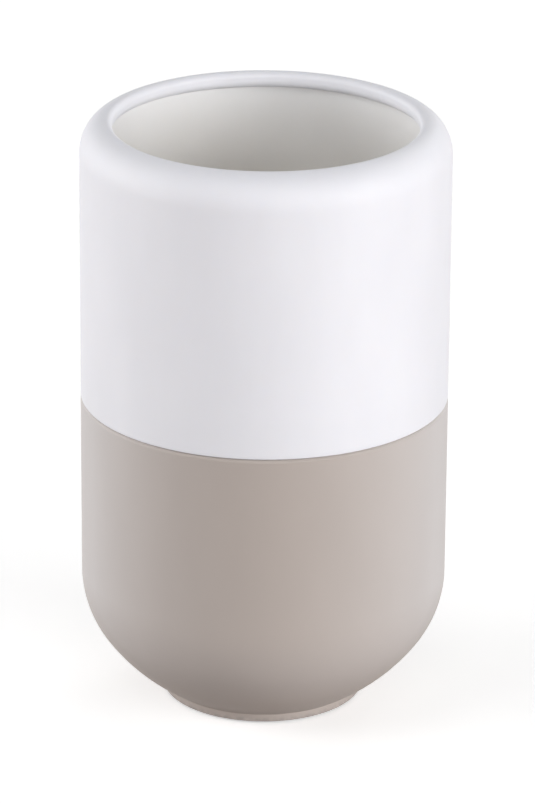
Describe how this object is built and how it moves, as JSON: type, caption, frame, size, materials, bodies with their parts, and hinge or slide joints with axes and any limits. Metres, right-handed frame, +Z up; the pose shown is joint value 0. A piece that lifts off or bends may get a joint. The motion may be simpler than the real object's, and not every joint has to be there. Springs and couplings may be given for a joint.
{
  "type": "bathroom tumbler",
  "caption": "Double-walled bathroom tumbler: pale upper sleeve with a rolled lip, taupe bowl-shaped lower shell, fine seam, separate inner liner and ring foot.",
  "frame": {"origin": "on the cup's axis in the plane that the foot pad stands on", "axes": "+Z up along the cup's axis, towards the mouth; the cup is round, so X and Y are free"},
  "size_m": [0.07, 0.07, 0.1152],
  "materials": {
    "upper_sleeve": "smooth matt moulding, cool white",
    "lower_bowl": "soft-touch matt, taupe",
    "inner_liner": "fine matt moulding, warm off-white",
    "rim_seal": "translucent grey silicone",
    "seam_seal": "translucent grey silicone",
    "foot_pad": "dense matt foam rubber, fine grain"
  },
  "bodies": {
    "root": {"upper_sleeve": "upper_sleeve", "lower_bowl": "lower_bowl", "inner_liner": "inner_liner", "rim_seal": "rim_seal", "seam_seal": "seam_seal", "foot_pad": "foot_pad"}
  },
  "joints": []
}
